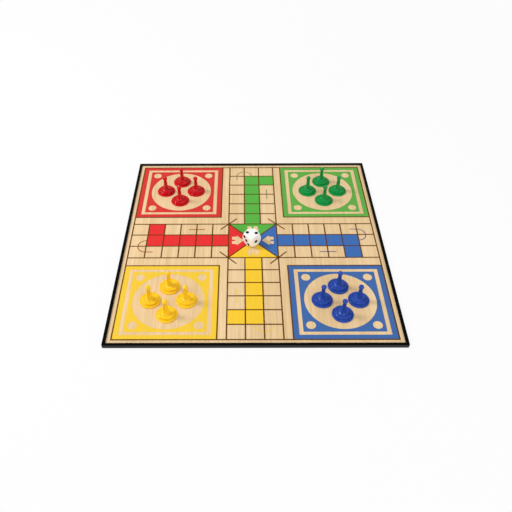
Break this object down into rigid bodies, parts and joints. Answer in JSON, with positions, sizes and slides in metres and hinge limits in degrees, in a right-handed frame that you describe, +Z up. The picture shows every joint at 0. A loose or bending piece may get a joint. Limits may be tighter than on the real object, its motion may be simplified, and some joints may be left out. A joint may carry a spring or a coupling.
{
  "type": "ludo board",
  "caption": "Square wooden ludo board with black edging, a printed cross track with coloured yards in its corners, turned pawns standing in the yards and a rounded die in the middle.",
  "frame": {"origin": "middle of the underside, on the surface that the edging rests on", "axes": "+X to the right and +Y to the back as a player at the front edge sees the board, +Z up out of the printed face"},
  "size_m": [0.305, 0.305, 0.0265],
  "materials": {
    "veneer": "satin",
    "core": "matte",
    "edging": "satin",
    "ink_yellow": "satin",
    "ink_blue": "satin",
    "ink_green": "satin",
    "ink_red": "satin",
    "ink_line": "satin",
    "pawn_yellow": "gloss",
    "pawn_blue": "gloss",
    "pawn_green": "gloss",
    "pawn_red": "gloss",
    "die": "gloss"
  },
  "bodies": {
    "board": {"back_veneer": "veneer", "core_ply": "core", "face_veneer": "veneer", "edge_front": "edging", "edge_right": "edging", "edge_back": "edging", "edge_left": "edging", "yellow_yard_border": "ink_yellow", "yellow_yard_field": "ink_yellow", "yellow_home_lane": "ink_yellow", "yellow_home_triangle": "ink_yellow", "blue_yard_border": "ink_blue", "blue_yard_field": "ink_blue", "blue_home_lane": "ink_blue", "blue_home_triangle": "ink_blue", "green_yard_border": "ink_green", "green_yard_field": "ink_green", "green_home_lane": "ink_green", "green_home_triangle": "ink_green", "red_yard_border": "ink_red", "red_yard_field": "ink_red", "red_home_lane": "ink_red", "red_home_triangle": "ink_red", "track_lines": "ink_line"},
    "yellow_pawn_1": {"yellow_pawn_1": "pawn_yellow"},
    "yellow_pawn_2": {"yellow_pawn_2": "pawn_yellow"},
    "yellow_pawn_3": {"yellow_pawn_3": "pawn_yellow"},
    "yellow_pawn_4": {"yellow_pawn_4": "pawn_yellow"},
    "blue_pawn_1": {"blue_pawn_1": "pawn_blue"},
    "blue_pawn_2": {"blue_pawn_2": "pawn_blue"},
    "blue_pawn_3": {"blue_pawn_3": "pawn_blue"},
    "blue_pawn_4": {"blue_pawn_4": "pawn_blue"},
    "green_pawn_1": {"green_pawn_1": "pawn_green"},
    "green_pawn_2": {"green_pawn_2": "pawn_green"},
    "green_pawn_3": {"green_pawn_3": "pawn_green"},
    "green_pawn_4": {"green_pawn_4": "pawn_green"},
    "red_pawn_1": {"red_pawn_1": "pawn_red"},
    "red_pawn_2": {"red_pawn_2": "pawn_red"},
    "red_pawn_3": {"red_pawn_3": "pawn_red"},
    "red_pawn_4": {"red_pawn_4": "pawn_red"},
    "die": {"die": "die"}
  },
  "joints": [
    {"name": "yellow_pawn_1_lift", "type": "slide", "parent": "board", "child": "yellow_pawn_1", "axis": [0, 0, 1], "range_m": [0, 0.06]},
    {"name": "yellow_pawn_2_lift", "type": "slide", "parent": "board", "child": "yellow_pawn_2", "axis": [0, 0, 1], "range_m": [0, 0.06]},
    {"name": "yellow_pawn_3_lift", "type": "slide", "parent": "board", "child": "yellow_pawn_3", "axis": [0, 0, 1], "range_m": [0, 0.06]},
    {"name": "yellow_pawn_4_lift", "type": "slide", "parent": "board", "child": "yellow_pawn_4", "axis": [0, 0, 1], "range_m": [0, 0.06]},
    {"name": "blue_pawn_1_lift", "type": "slide", "parent": "board", "child": "blue_pawn_1", "axis": [0, 0, 1], "range_m": [0, 0.06]},
    {"name": "blue_pawn_2_lift", "type": "slide", "parent": "board", "child": "blue_pawn_2", "axis": [0, 0, 1], "range_m": [0, 0.06]},
    {"name": "blue_pawn_3_lift", "type": "slide", "parent": "board", "child": "blue_pawn_3", "axis": [0, 0, 1], "range_m": [0, 0.06]},
    {"name": "blue_pawn_4_lift", "type": "slide", "parent": "board", "child": "blue_pawn_4", "axis": [0, 0, 1], "range_m": [0, 0.06]},
    {"name": "green_pawn_1_lift", "type": "slide", "parent": "board", "child": "green_pawn_1", "axis": [0, 0, 1], "range_m": [0, 0.06]},
    {"name": "green_pawn_2_lift", "type": "slide", "parent": "board", "child": "green_pawn_2", "axis": [0, 0, 1], "range_m": [0, 0.06]},
    {"name": "green_pawn_3_lift", "type": "slide", "parent": "board", "child": "green_pawn_3", "axis": [0, 0, 1], "range_m": [0, 0.06]},
    {"name": "green_pawn_4_lift", "type": "slide", "parent": "board", "child": "green_pawn_4", "axis": [0, 0, 1], "range_m": [0, 0.06]},
    {"name": "red_pawn_1_lift", "type": "slide", "parent": "board", "child": "red_pawn_1", "axis": [0, 0, 1], "range_m": [0, 0.06]},
    {"name": "red_pawn_2_lift", "type": "slide", "parent": "board", "child": "red_pawn_2", "axis": [0, 0, 1], "range_m": [0, 0.06]},
    {"name": "red_pawn_3_lift", "type": "slide", "parent": "board", "child": "red_pawn_3", "axis": [0, 0, 1], "range_m": [0, 0.06]},
    {"name": "red_pawn_4_lift", "type": "slide", "parent": "board", "child": "red_pawn_4", "axis": [0, 0, 1], "range_m": [0, 0.06]},
    {"name": "die_lift", "type": "slide", "parent": "board", "child": "die", "axis": [0, 0, 1], "range_m": [0, 0.06]}
  ]
}
